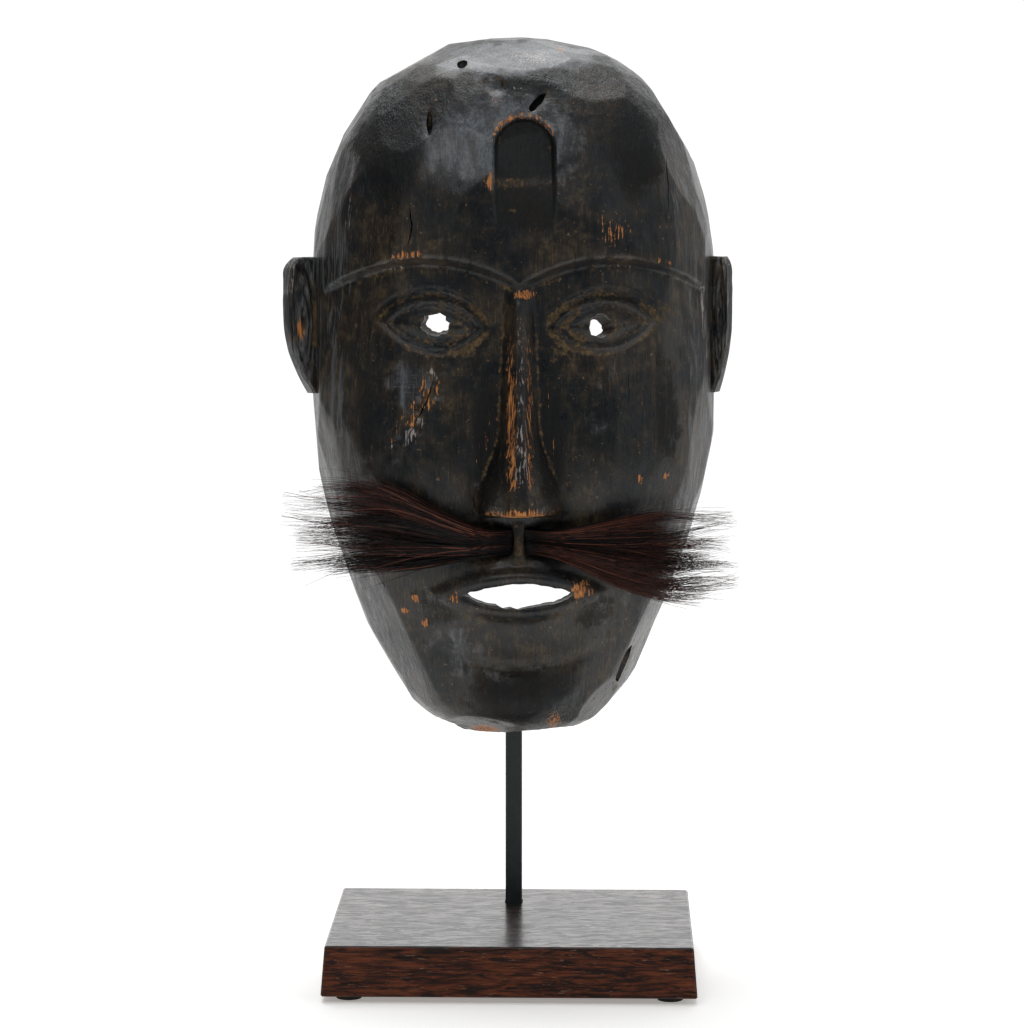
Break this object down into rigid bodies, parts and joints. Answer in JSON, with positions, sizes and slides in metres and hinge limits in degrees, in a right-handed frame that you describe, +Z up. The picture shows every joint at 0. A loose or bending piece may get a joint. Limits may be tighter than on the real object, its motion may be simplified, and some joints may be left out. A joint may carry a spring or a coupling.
{
  "type": "carved wooden mask on a stand",
  "caption": "Hollow carved wooden face mask with pierced eyes and mouth and a hair moustache threaded through the lip, held on a square rod in a low wooden base.",
  "frame": {"origin": "middle of the footprint, on the surface that the stand's foot pads rest on", "axes": "+Z up; the face looks towards -Y; +X is to the right of someone who looks at the face"},
  "size_m": [0.1732, 0.102, 0.3575],
  "materials": {
    "smoked_wood": "satin",
    "dark_hair": "satin",
    "black_steel": "satin",
    "wenge": "satin",
    "black_rubber": "matte"
  },
  "bodies": {
    "root": {"mask": "smoked_wood", "moustache": "dark_hair", "stand_rod": "black_steel", "stand_base": "wenge", "foot_pad_front_left": "black_rubber", "foot_pad_front_right": "black_rubber", "foot_pad_back_left": "black_rubber", "foot_pad_back_right": "black_rubber"}
  },
  "joints": []
}
